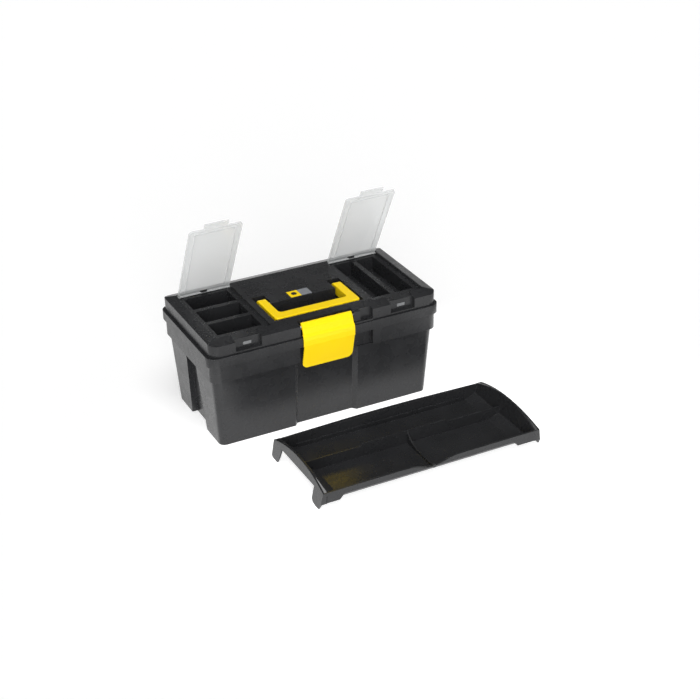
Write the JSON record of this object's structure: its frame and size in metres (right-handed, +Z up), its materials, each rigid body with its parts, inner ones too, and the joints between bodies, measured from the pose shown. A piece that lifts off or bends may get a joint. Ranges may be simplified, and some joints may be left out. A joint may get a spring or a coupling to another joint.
{
  "type": "toolbox with tray",
  "caption": "Plastic toolbox with a hinged lid, organiser bins under clear covers, a folding handle, a front latch and a lift-out tray.",
  "frame": {"origin": "centre of the toolbox's underside", "axes": "+X along the length to the right, -Y towards the latch, +Z up"},
  "size_m": [0.4677, 0.445, 0.3436],
  "materials": {
    "black_plastic": "fine moulded satin",
    "yellow_plastic": "smooth moulded gloss",
    "clear_plastic": "slightly milky clear",
    "steel": "plain drawn",
    "grey_plastic": "matt"
  },
  "bodies": {
    "box": {"body_shell": "black_plastic", "left_hinge_pin": "steel", "right_hinge_pin": "steel"},
    "lid": {"lid_shell": "black_plastic", "latch_pin": "steel", "left_handle_pin": "steel", "right_handle_pin": "steel", "badge_tile": "yellow_plastic", "badge_plate": "grey_plastic"},
    "latch": {"latch": "yellow_plastic"},
    "handle": {"handle": "yellow_plastic"},
    "left_cover": {"left_cover": "clear_plastic"},
    "right_cover": {"right_cover": "clear_plastic"},
    "tray": {"tray": "black_plastic"}
  },
  "joints": [
    {"name": "lid_hinge", "type": "hinge", "parent": "box", "child": "lid", "pos_m": [0, 0.108, 0.167], "axis": [-1, 0, 0], "range_deg": [0, 100]},
    {"name": "latch_hinge", "type": "hinge", "parent": "lid", "child": "latch", "pos_m": [0, -0.0975, 0.1813], "axis": [-1, 0, 0], "range_deg": [0, 110]},
    {"name": "handle_hinge", "type": "hinge", "parent": "lid", "child": "handle", "pos_m": [0, -0.0025, 0.184], "axis": [-1, 0, 0], "range_deg": [0, 105]},
    {"name": "left_cover_hinge", "type": "hinge", "parent": "lid", "child": "left_cover", "pos_m": [-0.136, 0.0795, 0.1887], "axis": [-1, 0, 0], "range_deg": [-62, 40]},
    {"name": "right_cover_hinge", "type": "hinge", "parent": "lid", "child": "right_cover", "pos_m": [0.136, 0.0795, 0.1887], "axis": [-1, 0, 0], "range_deg": [-62, 40]},
    {"name": "tray_lift", "type": "slide", "parent": "box", "child": "tray", "axis": [0, 0, 1], "range_m": [0, 0.09]}
  ]
}
